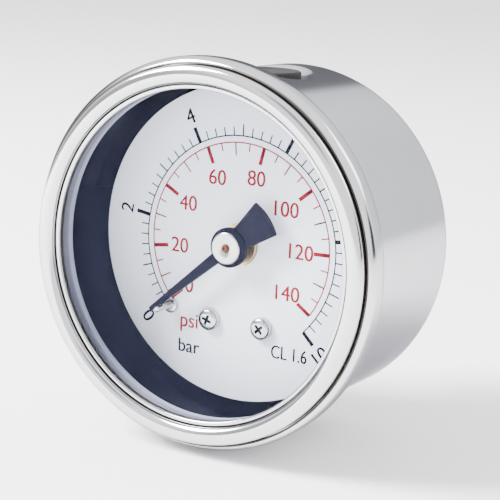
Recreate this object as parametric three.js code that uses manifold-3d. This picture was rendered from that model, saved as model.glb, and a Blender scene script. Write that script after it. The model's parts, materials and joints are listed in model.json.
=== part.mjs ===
// Back-connection pressure gauge, nominal size 63 mm, with a Bourdon tube and a geared movement.
// Millimetres. The gauge's axis is Y: the dial faces -Y, the pipe thread points to +Y, 12 o'clock is +Z.
// The origin is on the axis at the end face of the threaded stem.
import * as THREE from 'three';
import { mergeVertices } from 'three/addons/utils/BufferGeometryUtils.js';
import Module from 'manifold-3d';

const wasm = await Module();
wasm.setup();

// ---------- Driving dimensions ----------

// Clearances between pieces
const runningFit = 0.1; // radial, round a shaft, shank or rim
const seatGap = 0.05; // between faces that rest on each other
const stopGap = 0.05; // between the resting pointer and its stop pin

// Case and front ring
const caseDepth = 38.2; // front ring crown to case back
const beadRadius = 34;
const beadLength = 5.4;
const beadCorner = 1.9;
const barrelRadius = 31;
const backCorner = 2.4;
const sheet = 0.8;
const ringRadius = 32.6;
const ringOpening = 28.55;
const ringCrown = 1.3; // crown above the mouth of the case
const ringLipDrop = 1.7; // crown down to the lip round the window
const skirtWall = 0.75;
const mouthLip = 0.8; // rolled edge that holds the ring in
const windowThickness = 2;
const windowInset = 1.3; // mouth of the case down to the window
const gasketThickness = 1.2;
const gasketOverhang = 1.3; // how far the gasket stands in from the barrel

// Dial
const dialRadius = 28.5;
const dialThickness = 0.7;
const dialDrop = 16.3; // front ring crown to dial face
const dialScrewSpacing = 10.9;
const dialScrewDrop = 14.4; // below the axis
const dialScrewHead = 2.05;
const dialScrewHeadHeight = 1.3;
const dialScrewShank = 0.95;
const dialPostRadius = 1.7;

// Pointer and stop pin
const zeroAngle = -130; // clockwise from 12 o'clock
const pointerHeight = 2.9; // dial face to the back of the pointer
const pointerThickness = 0.6;
const pointerReach = 21.3;
const pointerTipHalfWidth = 0.42;
const pointerRootHalfWidth = 1.15;
const pointerDisc = 3.57;
const pointerDiscThickness = 1.0;
const tailReach = 9.9;
const tailHalfAngle = 20;
const tailNeckHalfWidth = 1.5;
const hubRadius = 2.85;
const hubThickness = 0.8;
const bushingRadius = 1.7;
const bossRadius = 3.7; // foot of the bushing, which passes through the dial
const bossRise = 0.8; // above the dial face
const stopPinRadius = 0.55;
const stopPinCircle = 19;
const stopPinHeight = 5.2;
const stopCollarRadius = 1.45;
const stopCollarHeight = 0.8;

// Gear pair
const gearModule = 0.23;
const pinionTeeth = 10;
const sectorTeeth = 120; // on the full circle that the sector is cut from
const pointerSweep = 265;
const gearBacklash = 0.05;
const sectorThickness = 1;
const pinionLength = 2.4;
const arborRadius = 0.66; // pointer to front plate
const arborSeatRadius = 0.66; // behind the front plate, where the pinion and collet sit

// Movement frame
const frontPlateDrop = 3; // dial face to the front plate
const frontPlateThickness = 1;
const plateSpacing = 4; // between the plates
const backPlateThickness = 1.5;
const plateMargin = 3; // plate edge round each pivot and pillar
const pillarRadius = 1.6;
const plateScrewHead = 1.7;
const plateScrewHeadHeight = 1.1;
const plateScrewShank = 0.85;
const sectorArborRadius = 0.7;
const leftPillar = [-9.5, -2];
const rightPillar = [13.5, 2];
const upperCorner = [-2, 7];
const leftBaseScrew = [-7.5, 2.5];
const rightBaseScrew = [6.5, -6.5];

// Linkage from the tube's tip to the sector's tail
const sectorPivotAngle = -47.19; // direction from the axis, above +X
const linkPivot = [19.7, -7.2]; // on the tube's tip
const linkLength = 8;
const linkWidth = 2.6;
const linkThickness = 0.8;
const linkPinRadius = 0.6;
const linkClearance = 0.2; // radial, at the pivot that the model leaves open

// Bourdon tube
const tubeRadius = 23.5; // axis to the middle of the tube
const tubeWidth = 7.5; // along the gauge's axis
const tubeThickness = 2.6;
const tubeWall = 0.4;
const tubeSweep = 269.5; // degrees from the socket to the tip
const tipSweep = 9;
const tipWall = 0.9;

// Hairspring
const hairspringTurns = 4;
const hairspringWire = 0.16;
const hairspringWidth = 0.5;
const hairspringOuter = 4.9;
const colletRadius = 1.3;
const studRadius = 0.5;

// Socket
const threadRadius = 6.58; // G 1/4
const threadLength = 13;
const threadChamfer = 1;
const threadReliefRadius = 5.7;
const threadReliefLength = 2.2;
const wrenchFlats = 14;
const wrenchCornerRadius = 9;
const wrenchLength = 8.5;
const neckStandoff = 0.5; // case back to the wrench flats
const flangeRadius = 12.2;
const flangeThickness = 4;
const sealThickness = 0.8;
const earReach = 16;
const earHalfWidth = 3.5;
const bossHalfWidth = 9.5;
const armHalfWidth = 7.5;
const armReach = 26.5;
const tubePocketDepth = 2.4;
const portRadius = 2.45;
const feedRadius = 1.2;
const restrictorLength = 4;
const restrictorHole = 0.4;
const caseScrewCircle = 13;
const caseScrewHead = 2.75;
const caseScrewHeadHeight = 1.9;
const caseScrewShank = 1.45;

// Vent plug at 12 o'clock
const plugRadius = 6.5;
const plugStemRadius = 5;
const plugSetback = 6.5; // behind the dial face
const plugSeatDepth = 1.6; // top of the barrel down to the seat
const plugTopDepth = 0.35; // top of the barrel down to the plug's top
const plugStemLength = 1.1; // below the seat
const dimpleFlare = 2.7;

// Facets
const roundFacets = 48;
const midFacets = 32;
const smallFacets = 16;

// ---------- Places along the axis, worked out from the sizes above ----------

const shoulderY = -threadLength;
const neckY = shoulderY - wrenchLength;
const caseBackY = neckY - neckStandoff;
const crownY = caseBackY - caseDepth;
const mouthY = crownY + ringCrown;
const beadBackY = mouthY + beadLength;
const windowY = mouthY + windowInset;
const gasketY = windowY + windowThickness + seatGap;
const ledgeY = gasketY + gasketThickness + seatGap;
const dialY = crownY + dialDrop;
const frontPlateY = dialY + frontPlateDrop;
const backPlateY = frontPlateY + frontPlateThickness + plateSpacing;
const blockY = backPlateY + backPlateThickness + seatGap;
const sectorY = frontPlateY + frontPlateThickness + 1.2;
const linkY = sectorY + sectorThickness + 0.3;
const lugY = linkY + linkThickness + 0.2;
const tubeY = blockY + 0.85 + tubeWidth / 2;
const innerBackY = caseBackY - sheet;
const sealY = innerBackY - seatGap - sealThickness;
const flangeBackY = sealY - seatGap;
const flangeY = flangeBackY - flangeThickness;

// ---------- Places across the axis ----------

const barrelBore = barrelRadius - sheet;
const pocketRadius = beadRadius - sheet;
const windowRadius = pocketRadius - runningFit - skirtWall - runningFit;
const dialPosts = [-1, 1].map((side) => [side * dialScrewSpacing / 2, -dialScrewDrop]);
const pinionPitch = gearModule * pinionTeeth / 2;
const sectorPitch = gearModule * sectorTeeth / 2;
const pivotDistance = pinionPitch + sectorPitch;
const sectorPivot = [
  pivotDistance * Math.cos(radians(sectorPivotAngle)),
  pivotDistance * Math.sin(radians(sectorPivotAngle)),
];
const sectorTravel = pointerSweep * pinionTeeth / sectorTeeth;
const tubeInner = tubeRadius - tubeThickness / 2;
const tubeOuter = tubeRadius + tubeThickness / 2;
const pocketEndX = armHalfWidth - tubePocketDepth;
const tubeStart = 180 + Math.asin((pocketEndX + runningFit) / tubeInner) * 180 / Math.PI;
const tubeEnd = tubeStart + tubeSweep;
const tipTravelAngle = 60.2; // degrees above +X
const tailPivot = [
  linkPivot[0] - linkLength * Math.cos(radians(tipTravelAngle)),
  linkPivot[1] - linkLength * Math.sin(radians(tipTravelAngle)),
];

// ---------- Solids: joining and cutting ----------

function radians(degrees) {
  return degrees * Math.PI / 180;
}

// A closed three.js geometry as a manifold solid, with faces out and seams and poles merged.
function solid(geometry) {
  const bare = geometry.clone();
  bare.deleteAttribute('normal');
  bare.deleteAttribute('uv');
  const merged = mergeVertices(bare);
  const vertProperties = new Float32Array(merged.attributes.position.array);
  const corners = merged.index.array;
  const kept = [];
  let volume = 0;
  for (let i = 0; i < corners.length; i += 3) {
    const [a, b, c] = [corners[i], corners[i + 1], corners[i + 2]];
    if (a === b || b === c || c === a) continue;
    kept.push(a, b, c);
    const [p, q, r] = [a, b, c].map((v) => new THREE.Vector3().fromArray(vertProperties, 3 * v));
    volume += p.dot(q.cross(r));
  }
  if (volume < 0) kept.reverse();
  return new wasm.Manifold(new wasm.Mesh({ numProp: 3, vertProperties, triVerts: new Uint32Array(kept) }));
}

function join(first, ...others) {
  return others.reduce((sum, other) => sum.add(other), first);
}

function cut(body, ...tools) {
  return tools.reduce((rest, tool) => rest.subtract(tool), body);
}

// ---------- Solids: basic forms ----------

// A ring or disc turned about the Y axis from a profile of [radius, y] points.
function turned(profile, facets = roundFacets) {
  const points = profile.map(([radius, y]) => new THREE.Vector2(radius, y));
  const last = profile[profile.length - 1];
  if (profile[0][0] > 0 || last[0] > 0) points.push(points[0].clone());
  return solid(new THREE.LatheGeometry(points, facets));
}

// Points of a round corner in a profile, from one angle to another, in degrees.
function corner(radius, y, size, from, to, steps = 3) {
  const points = [];
  for (let i = 0; i <= steps; i++) {
    const angle = radians(from + (to - from) * i / steps);
    points.push([radius + size * Math.cos(angle), y + size * Math.sin(angle)]);
  }
  return points;
}

// A round rod along Y, from one y to another.
function rod(radius, fromY, toY, [x, z] = [0, 0], facets = smallFacets) {
  const geometry = new THREE.CylinderGeometry(radius, radius, toY - fromY, facets);
  geometry.translate(x, (fromY + toY) / 2, z);
  return solid(geometry);
}

function block(fromX, toX, fromY, toY, fromZ, toZ) {
  const geometry = new THREE.BoxGeometry(toX - fromX, toY - fromY, toZ - fromZ);
  geometry.translate((fromX + toX) / 2, (fromY + toY) / 2, (fromZ + toZ) / 2);
  return solid(geometry);
}

// A flat piece drawn in X and Z, with its front face at frontY.
function plate(outline, frontY, thickness) {
  const shape = new THREE.Shape(outline.map(([x, z]) => new THREE.Vector2(x, z)));
  const options = { depth: thickness, bevelEnabled: false, curveSegments: 1 };
  const geometry = new THREE.ExtrudeGeometry(shape, options);
  geometry.rotateX(Math.PI / 2);
  geometry.translate(0, frontY + thickness, 0);
  return solid(geometry);
}

// The outline round a convex run of points, given anticlockwise, at one distance from them all.
function roundedOutline(points, radius, steps = 6) {
  const outline = [];
  points.forEach(([x, z], i) => {
    const before = points[(i + points.length - 1) % points.length];
    const after = points[(i + 1) % points.length];
    const start = Math.atan2(z - before[1], x - before[0]) - Math.PI / 2;
    let turn = Math.atan2(after[1] - z, after[0] - x) - Math.PI / 2 - start;
    while (turn < 0) turn += 2 * Math.PI;
    for (let k = 0; k <= steps; k++) {
      const angle = start + turn * k / steps;
      outline.push([x + radius * Math.cos(angle), z + radius * Math.sin(angle)]);
    }
  });
  return outline;
}

// A point on a circle about the axis, by its angle clockwise from 12 o'clock.
function clock(angle, radius) {
  return [radius * Math.sin(radians(angle)), radius * Math.cos(radians(angle))];
}

// A cheese-head screw along +Y: its head's front face at headY, with a cross recess or a slot.
function screw({ at, headY, head, headHeight, shank, length, recess = 'slot' }) {
  const profile = [
    [0, headY],
    [head * 0.72, headY],
    [head * 0.94, headY + headHeight * 0.25],
    [head, headY + headHeight * 0.55],
    [head, headY + headHeight],
    [shank, headY + headHeight],
    [shank, headY + headHeight + length],
    [0, headY + headHeight + length],
  ];
  const width = head * 0.13;
  const depth = headHeight * 0.55;
  const reach = recess === 'cross' ? head * 0.62 : head * 1.1;
  let body = turned(profile, smallFacets);
  body = cut(body, block(-reach, reach, headY - 1, headY + depth, -width, width));
  if (recess === 'cross') body = cut(body, block(-width, width, headY - 1, headY + depth, -reach, reach));
  return body.translate([at[0], 0, at[1]]);
}

// ---------- The assembly ----------

const finishes = {
  stainless: { color: 0xd9d9dc, roughness: 0.18, metalness: 1 },
  steel: { color: 0xb9bcc2, roughness: 0.3, metalness: 1 },
  brass: { color: 0xb8964e, roughness: 0.32, metalness: 1 },
  bronze: { color: 0xa8804a, roughness: 0.4, metalness: 1 },
  blackPaint: { color: 0x1b1d2c, roughness: 0.45, metalness: 0 },
  whitePaint: { color: 0xf2f3f7, roughness: 0.6, metalness: 0 },
  glass: { color: 0xe8eef2, roughness: 0.05, metalness: 0 },
  rubber: { color: 0x35343a, roughness: 0.85, metalness: 0 },
  greyRubber: { color: 0x8d8fa6, roughness: 0.7, metalness: 0 },
};

const gauge = new THREE.Group();

function add(name, body, finish) {
  const { vertProperties, triVerts } = body.getMesh();
  const geometry = new THREE.BufferGeometry();
  geometry.setAttribute('position', new THREE.BufferAttribute(vertProperties, 3));
  geometry.setIndex(new THREE.BufferAttribute(triVerts, 1));
  geometry.computeVertexNormals();
  const mesh = new THREE.Mesh(geometry, new THREE.MeshStandardMaterial(finishes[finish]));
  mesh.name = name;
  gauge.add(mesh);
}

// Case: a drawn stainless cup whose mouth steps out into a rolled bead.
function makeCase() {
  const neckHole = wrenchCornerRadius + runningFit;
  const shell = turned([
    [neckHole, caseBackY],
    ...corner(barrelRadius - backCorner, caseBackY - backCorner, backCorner, 90, 0),
    [barrelRadius, beadBackY],
    ...corner(beadRadius - beadCorner, beadBackY - beadCorner, beadCorner, 90, 0),
    ...corner(beadRadius - beadCorner, mouthY + beadCorner, beadCorner, 0, -60),
    [ringRadius + runningFit, mouthY + 0.3],
    [ringRadius + runningFit, mouthY + mouthLip],
    [pocketRadius, mouthY + mouthLip],
    [pocketRadius, ledgeY],
    [barrelBore, ledgeY],
    ...corner(barrelBore - backCorner + sheet, innerBackY - backCorner + sheet, backCorner - sheet, 0, 90),
    [neckHole, innerBackY],
  ]);
  const ventY = dialY + plugSetback;
  const seatZ = barrelRadius - plugSeatDepth;
  const holder = plugRadius + runningFit + dimpleFlare + sheet;
  const dish = upright(rod(holder, seatZ - sheet, barrelRadius, [0, 0], midFacets), ventY)
    .intersect(rod(barrelRadius, caseBackY - caseDepth, caseBackY - sheet, [0, 0], roundFacets));
  const dimple = upright(turned([
    [0, seatZ],
    [plugRadius + runningFit, seatZ],
    [plugRadius + runningFit + dimpleFlare, barrelRadius + 0.2],
    [0, barrelRadius + 0.2],
  ], midFacets), ventY);
  const ventHole = upright(rod(plugStemRadius + runningFit, seatZ - 3, seatZ + 1, [0, 0], midFacets), ventY);
  const screwHoles = [-1, 1].map((side) => rod(
    caseScrewShank + runningFit, innerBackY - 1, caseBackY + 1, [side * caseScrewCircle, 0]));
  add('case', cut(join(shell, dish), dimple, ventHole, ...screwHoles), 'stainless');
}

// Turns a solid made along Y to stand along Z, over a point on the axis.
function upright(body, y) {
  return body.rotate([90, 0, 0]).translate([0, y, 0]);
}

// Front ring: a pressed stainless ring with a full crown, hollow behind, held under the case's mouth.
function makeFrontRing() {
  const lipY = crownY + ringLipDrop;
  const backY = windowY - seatGap;
  const skirtOuter = pocketRadius - runningFit;
  const shoulder = mouthY + mouthLip + seatGap;
  add('bezel_ring', turned([
    [ringOpening, backY],
    [ringOpening, lipY],
    [ringOpening + 0.35, lipY - 0.75],
    [ringOpening + 1.1, lipY - 1.35],
    [ringOpening + 1.9, crownY + 0.05],
    [ringOpening + 2.6, crownY],
    [ringRadius - 0.75, crownY + 0.3],
    [ringRadius - 0.2, crownY + 0.85],
    [ringRadius, mouthY + 0.25],
    [ringRadius, shoulder],
    [skirtOuter, shoulder],
    [skirtOuter, ledgeY - gasketThickness],
    [skirtOuter - skirtWall, ledgeY - gasketThickness],
    [skirtOuter - skirtWall, backY],
    [ringRadius - sheet, backY],
    [ringRadius - 1.2, crownY + 0.3 + sheet],
    [ringOpening + 2, crownY + sheet + 0.1],
    [ringOpening + sheet, backY],
  ]), 'stainless');
}

function makeWindow() {
  add('window', turned([
    [0, windowY],
    [windowRadius, windowY],
    [windowRadius, windowY + windowThickness],
    [0, windowY + windowThickness],
  ]), 'glass');
  add('window_gasket', turned([
    [barrelBore - gasketOverhang, gasketY],
    [windowRadius, gasketY],
    [windowRadius, gasketY + gasketThickness],
    [barrelBore - gasketOverhang, gasketY + gasketThickness],
  ]), 'greyRubber');
}

// Vent plug: a rubber plug that sits in the dimple and blows out if the case is ever pressurised.
function makeVentPlug() {
  const seat = barrelRadius - plugSeatDepth + seatGap;
  const top = barrelRadius - plugTopDepth;
  const body = turned([
    [0, seat - plugStemLength],
    [plugStemRadius - 0.4, seat - plugStemLength],
    [plugStemRadius, seat - plugStemLength + 0.4],
    [plugStemRadius, seat],
    [plugRadius, seat],
    [plugRadius, top - 0.4],
    [plugRadius - 0.4, top],
    [0, top],
  ], midFacets);
  add('vent_plug', upright(body, dialY + plugSetback), 'rubber');
}

// Dial: a white-painted aluminium disc on two posts.
function makeDial() {
  const backY = dialY + dialThickness;
  const disc = rod(dialRadius, dialY, backY, [0, 0], roundFacets);
  const holes = dialPosts.map((at) => rod(dialScrewShank + runningFit, dialY - 1, backY + 1, at));
  const centreHole = rod(bossRadius + runningFit, dialY - 1, backY + 1, [0, 0], midFacets);
  const pinHole = rod(stopPinRadius + runningFit, dialY - 1, backY + 1, stopPinPlace());
  add('dial', cut(disc, ...holes, centreHole, pinHole), 'whitePaint');
  ['left', 'right'].forEach((side, i) => {
    const post = rod(dialPostRadius, backY + seatGap, blockY - seatGap, dialPosts[i]);
    const tapped = rod(dialScrewShank + runningFit, backY - 1, backY + 5, dialPosts[i]);
    add(`dial_post_${side}`, cut(post, tapped), 'brass');
    add(`dial_screw_${side}`, screw({
      at: dialPosts[i],
      headY: dialY - seatGap - dialScrewHeadHeight,
      head: dialScrewHead,
      headHeight: dialScrewHeadHeight,
      shank: dialScrewShank,
      length: 4.5,
      recess: 'cross',
    }), 'steel');
  });
}

// The pin stands beside the resting pointer, on its anticlockwise side.
function stopPinPlace() {
  const along = (stopPinCircle - pointerDisc) / (pointerReach - pointerDisc);
  const halfWidth = pointerRootHalfWidth + (pointerTipHalfWidth - pointerRootHalfWidth) * along;
  const offset = Math.asin((halfWidth + stopPinRadius + stopGap) / stopPinCircle) * 180 / Math.PI;
  return clock(zeroAngle - offset, stopPinCircle);
}

function makeStopPin() {
  const tipY = dialY - stopPinHeight;
  const pin = turned([
    [0, tipY],
    [stopPinRadius - 0.15, tipY],
    [stopPinRadius, tipY + 0.15],
    [stopPinRadius, dialY - seatGap - stopCollarHeight],
    [stopCollarRadius, dialY - seatGap - stopCollarHeight],
    [stopCollarRadius, dialY - seatGap],
    [stopPinRadius, dialY - seatGap],
    [stopPinRadius, dialY + dialThickness + 0.5],
    [0, dialY + dialThickness + 0.5],
  ], smallFacets);
  const [x, z] = stopPinPlace();
  add('stop_pin', pin.translate([x, 0, z]), 'steel');
}

// Pointer: blade, fan-shaped counterweight and disc in one piece, drawn at 12 o'clock and turned to zero.
function makePointer() {
  const backY = dialY - pointerHeight;
  const frontY = backY - pointerThickness;
  const blade = [
    [-pointerRootHalfWidth, 0],
    [pointerRootHalfWidth, 0],
    [pointerTipHalfWidth, pointerReach],
    [-pointerTipHalfWidth, pointerReach],
  ];
  const tail = [[tailNeckHalfWidth, 0], [-tailNeckHalfWidth, 0]];
  for (let angle = -tailHalfAngle; angle <= tailHalfAngle; angle += tailHalfAngle / 4) {
    tail.push(clock(180 - angle, tailReach));
  }
  const disc = rod(pointerDisc, backY - pointerDiscThickness, backY, [0, 0], midFacets);
  const bore = rod(arborRadius + runningFit, frontY - 2, backY + 1);
  const flat = join(plate(blade, frontY, pointerThickness), plate(tail, frontY, pointerThickness));
  const body = cut(join(disc, flat), bore);
  add('pointer', body.rotate([0, zeroAngle, 0]), 'blackPaint');
}

// The shaft that carries the pointer, its cap, the pinion and the hairspring's collet.
function makePointerArbor() {
  const discY = dialY - pointerHeight - pointerDiscThickness;
  const hubBackY = discY - seatGap;
  const hubY = hubBackY - hubThickness;
  const bore = arborRadius + runningFit;
  const seatBore = arborSeatRadius + runningFit;
  add('pointer_hub', turned([
    [bore, hubY],
    [hubRadius - 0.25, hubY],
    [hubRadius, hubY + 0.25],
    [hubRadius, hubBackY],
    [bore, hubBackY],
  ], midFacets), 'steel');
  const rearY = backPlateY + backPlateThickness - 0.2;
  const pinionY = sectorY + sectorThickness / 2 - pinionLength / 2;
  const stepY = pinionY - seatGap;
  const front = rod(arborRadius, hubY - 0.3, stepY);
  add('pointer_arbor', join(front, rod(arborSeatRadius, stepY - 0.1, rearY)), 'bronze');
  const teeth = plate(gearOutline(pinionTeeth), pinionY, pinionLength);
  const meshAngle = radians(sectorPivotDirection());
  const phase = (meshAngle - Math.PI / pinionTeeth) * 180 / Math.PI;
  const pinionBore = rod(seatBore, pinionY - 1, pinionY + pinionLength + 1);
  add('pinion', cut(teeth.rotate([0, -phase, 0]), pinionBore), 'brass');
  const colletY = pinionY + pinionLength + seatGap;
  const collet = turned([
    [seatBore, colletY],
    [colletRadius, colletY],
    [colletRadius, colletY + 0.8],
    [seatBore, colletY + 0.8],
  ], smallFacets);
  add('hairspring_collet', collet, 'brass');
  const bushing = turned([
    [bore, dialY - pointerHeight + 0.3],
    [bushingRadius, dialY - pointerHeight + 0.3],
    [bushingRadius, dialY - bossRise],
    [bossRadius, dialY - bossRise],
    [bossRadius, frontPlateY - seatGap],
    [bore, frontPlateY - seatGap],
  ], midFacets);
  add('arbor_bushing', bushing, 'brass');
}

// Direction from the axis to the sector's pivot, in degrees anticlockwise from +X.
function sectorPivotDirection() {
  return Math.atan2(sectorPivot[1], sectorPivot[0]) * 180 / Math.PI;
}

// One tooth's half outline, root to tip, as [radius, half angle] on an involute with 20 degrees of pressure.
function toothFlank(teeth) {
  const pitch = gearModule * teeth / 2;
  const base = pitch * Math.cos(radians(20));
  const root = pitch - 1.2 * gearModule;
  const tip = pitch + 0.85 * gearModule;
  const involute = (radius) => {
    const roll = Math.sqrt(Math.max(0, (radius / base) ** 2 - 1));
    return roll - Math.atan(roll);
  };
  const half = Math.PI / 2 / teeth - gearBacklash / 2 / pitch;
  const start = Math.max(root, base);
  const flank = [start, (start + tip) / 2, tip].map((r) => [r, half + involute(pitch) - involute(r)]);
  if (root < base) flank.unshift([root, flank[0][1] * 0.85]);
  return flank;
}

// The outline of some of a gear's teeth, the first one centred on +X; all of them close the wheel.
function gearOutline(teeth, count = teeth, firstAngle = 0) {
  const outline = [];
  for (let i = 0; i < count; i++) {
    const middle = radians(firstAngle) + 2 * Math.PI * i / teeth;
    const flank = toothFlank(teeth);
    flank.forEach(([r, a]) => outline.push([r * Math.cos(middle - a), r * Math.sin(middle - a)]));
    flank.reverse().forEach(([r, a]) => outline.push([r * Math.cos(middle + a), r * Math.sin(middle + a)]));
  }
  return outline;
}

// Sector: a toothed fan on a short arbor, with a tail for the link.
function makeSector() {
  const towardAxis = sectorPivotDirection() + 180;
  const pitchAngle = 360 / sectorTeeth;
  const spare = 1; // teeth past each end of the travel
  const count = Math.ceil(sectorTravel / pitchAngle) + 2 * spare;
  const firstTooth = towardAxis + spare * pitchAngle - (count - 1) * pitchAngle;
  const root = sectorPitch - 1.2 * gearModule;
  const rim = gearOutline(sectorTeeth, count, firstTooth);
  const rimStart = radians(firstTooth - pitchAngle);
  const rimEnd = radians(firstTooth + count * pitchAngle);
  const fan = [
    [root * Math.cos(rimStart), root * Math.sin(rimStart)],
    ...rim,
    [root * Math.cos(rimEnd), root * Math.sin(rimEnd)],
    [0, 0],
  ];
  const [px, pz] = sectorPivot;
  const tail = [tailPivot[0] - px, tailPivot[1] - pz];
  const arm = roundedOutline([[0, 0], tail], 1.5, 10);
  const hub = rod(2.3, sectorY, sectorY + sectorThickness, [0, 0], smallFacets);
  const middle = radians((firstTooth + firstTooth + (count - 1) * pitchAngle) / 2);
  const lightening = rod(1.9, sectorY - 1, sectorY + 2, [8 * Math.cos(middle), 8 * Math.sin(middle)]);
  const bore = rod(sectorArborRadius + runningFit, sectorY - 1, sectorY + 2);
  const pinHole = rod(linkPinRadius + runningFit, sectorY - 1, sectorY + 2, tail);
  const body = cut(
    join(plate(fan, sectorY, sectorThickness), plate(arm, sectorY, sectorThickness), hub),
    bore, pinHole, lightening);
  add('sector_gear', body.translate([px, 0, pz]), 'brass');
  const arborEnd = backPlateY + backPlateThickness - 0.2;
  add('sector_arbor', rod(sectorArborRadius, frontPlateY + 0.2, arborEnd, sectorPivot), 'steel');
  add('link_screw', screw({
    at: tailPivot,
    headY: sectorY - seatGap - 0.7,
    head: 1.3,
    headHeight: 0.7,
    shank: linkPinRadius,
    length: lugY - sectorY - 0.1,
  }), 'steel');
}

// Link: a flat bar from the tube's tip to the sector's tail. Its hole at the tail is the loose one.
function makeLink() {
  const bar = plate(roundedOutline([tailPivot, linkPivot], linkWidth / 2, 10), linkY, linkThickness);
  const loose = rod(linkPinRadius + linkClearance, linkY - 1, linkY + 2, tailPivot);
  const close = rod(linkPinRadius + runningFit, linkY - 1, linkY + 2, linkPivot);
  add('link', cut(bar, loose, close), 'steel');
}

// Movement: two brass plates on pillars, screwed to the front of the socket.
function makeMovement() {
  const corners = [leftPillar, sectorPivot, rightPillar, upperCorner];
  const outline = roundedOutline(corners, plateMargin);
  const arborHole = (radius, y) => rod(radius + runningFit, y - 2, y + 4);
  const sectorHole = (y) => rod(sectorArborRadius + runningFit, y - 2, y + 4, sectorPivot);
  const postNotches = dialPosts.map((at) => rod(
    dialPostRadius + runningFit, frontPlateY - 1, blockY + 1, at));
  const pillars = [leftPillar, rightPillar];
  const baseScrews = [leftBaseScrew, rightBaseScrew];
  const front = plate(outline, frontPlateY, frontPlateThickness);
  const screwHoles = pillars.map((at) => rod(
    plateScrewShank + runningFit, frontPlateY - 1, frontPlateY + 2, at));
  add('movement_front_plate',
    cut(front, arborHole(arborRadius, frontPlateY), sectorHole(frontPlateY), ...screwHoles, ...postNotches),
    'brass');
  const back = plate(outline, backPlateY, backPlateThickness);
  const tenonHoles = pillars.map((at) => rod(1 + runningFit, backPlateY - 1, backPlateY + 3, at));
  const baseHoles = baseScrews.map((at) => rod(
    plateScrewShank + runningFit, backPlateY - 1, backPlateY + 3, at));
  const pivotHoles = [arborHole(arborSeatRadius, backPlateY), sectorHole(backPlateY)];
  add('movement_back_plate', cut(back, ...pivotHoles, ...tenonHoles, ...baseHoles, ...postNotches), 'brass');
  ['left', 'right'].forEach((side, i) => {
    const shoulder = rod(pillarRadius, backPlateY - plateSpacing + seatGap, backPlateY - seatGap, pillars[i]);
    const tenon = rod(1, backPlateY - 1, backPlateY + backPlateThickness - 0.2, pillars[i]);
    const tapped = rod(plateScrewShank + runningFit, frontPlateY, backPlateY - 1.2, pillars[i]);
    add(`movement_pillar_${side}`, cut(join(shoulder, tenon), tapped), 'brass');
    add(`plate_screw_${side}`, screw({
      at: pillars[i],
      headY: frontPlateY - seatGap - plateScrewHeadHeight,
      head: plateScrewHead,
      headHeight: plateScrewHeadHeight,
      shank: plateScrewShank,
      length: frontPlateThickness + 2.4,
    }), 'steel');
    add(`base_screw_${side}`, screw({
      at: baseScrews[i],
      headY: backPlateY - seatGap - plateScrewHeadHeight,
      head: plateScrewHead,
      headHeight: plateScrewHeadHeight,
      shank: plateScrewShank,
      length: backPlateThickness + 3,
    }), 'steel');
  });
}

// Hairspring: a flat spiral that takes up the play in the gears, between the collet and its stud.
function makeHairspring() {
  const inner = colletRadius + runningFit + hairspringWire / 2;
  const steps = 16 * hairspringTurns;
  const side = (offset) => Array.from({ length: steps + 1 }, (_, i) => {
    const radius = inner + (hairspringOuter - inner) * i / steps + offset * hairspringWire / 2;
    const angle = radians(20 + 360 * hairspringTurns * i / steps);
    return [radius * Math.cos(angle), radius * Math.sin(angle)];
  });
  const springY = sectorY + sectorThickness / 2 + pinionLength / 2 + 0.2;
  const outline = [...side(1), ...side(-1).reverse()];
  add('hairspring', plate(outline, springY, hairspringWidth), 'bronze');
  const studCircle = hairspringOuter + hairspringWire / 2 + seatGap + studRadius;
  const studPlace = [studCircle * Math.cos(radians(20)), studCircle * Math.sin(radians(20))];
  add('hairspring_stud', rod(studRadius, springY - 0.1, backPlateY - seatGap, studPlace), 'brass');
}

// Bourdon tube: a flattened, curved tube. Pressure uncurls it and swings its tip out.
function makeTube() {
  const section = (width, thickness) => {
    const middle = width / 2 - thickness / 2;
    const round = thickness / 2;
    return [
      ...corner(tubeRadius, tubeY + middle, round, 0, 180),
      ...corner(tubeRadius, tubeY - middle, round, 180, 360),
    ];
  };
  const outer = turned(section(tubeWidth, tubeThickness));
  const hollow = turned(section(tubeWidth - 2 * tubeWall, tubeThickness - 2 * tubeWall));
  const far = 3 * tubeRadius;
  const gapMiddle = (tubeStart + tubeEnd - 360) / 2;
  const wedge = plate([[0, 0], clock(tubeStart, far), clock(gapMiddle, far), clock(tubeEnd, far)],
    tubeY - tubeWidth, 2 * tubeWidth);
  add('bourdon_tube', cut(outer, hollow, wedge), 'bronze');

  const span = tubeThickness / 2 + tipWall;
  const startTip = tubeEnd + 0.3;
  const blockOutline = [
    clock(startTip, tubeRadius - span),
    clock(startTip, tubeRadius + span),
    clock(startTip + tipSweep, tubeRadius + span),
    clock(startTip + tipSweep, tubeRadius - span),
  ];
  const tipDepth = tubeY + tubeWidth / 2 - lugY;
  const lugFoot = clock(startTip + tipSweep / 2, tubeRadius - 0.5);
  const lug = plate(roundedOutline([linkPivot, lugFoot], linkWidth / 2, 10), lugY, 1.2);
  const pinHole = rod(linkPinRadius + runningFit, lugY - 1, lugY + 3, linkPivot);
  add('tube_tip', cut(join(plate(blockOutline, lugY, tipDepth), lug), pinHole), 'brass');
  add('tip_pin', screw({
    at: linkPivot,
    headY: linkY - seatGap - 0.7,
    head: 1.3,
    headHeight: 0.7,
    shank: linkPinRadius,
    length: lugY - linkY + 1.1,
  }), 'steel');
}

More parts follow.
